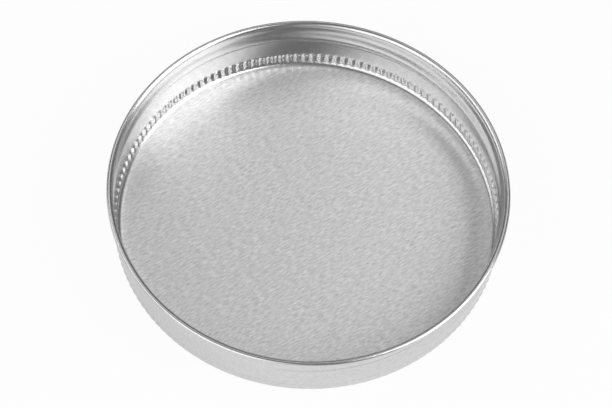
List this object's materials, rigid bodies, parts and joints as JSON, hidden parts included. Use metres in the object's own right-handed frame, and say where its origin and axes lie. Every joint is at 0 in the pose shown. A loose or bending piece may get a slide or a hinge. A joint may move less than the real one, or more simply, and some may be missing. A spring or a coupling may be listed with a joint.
{
  "type": "metal jar lid",
  "caption": "Round screw lid of thin sheet metal with a rolled thread, a knurled band and a curled open edge, lying open side up.",
  "frame": {"origin": "centre of the underside of the panel, which the lid rests on", "axes": "+Z along the lid's axis, from the panel towards the open side; +X points away from the deep end of the thread"},
  "size_m": [0.092, 0.092, 0.0154],
  "materials": {
    "lid": "bare tinned steel, rolled grain, satin"
  },
  "bodies": {
    "root": {"lid": "lid"}
  },
  "joints": []
}
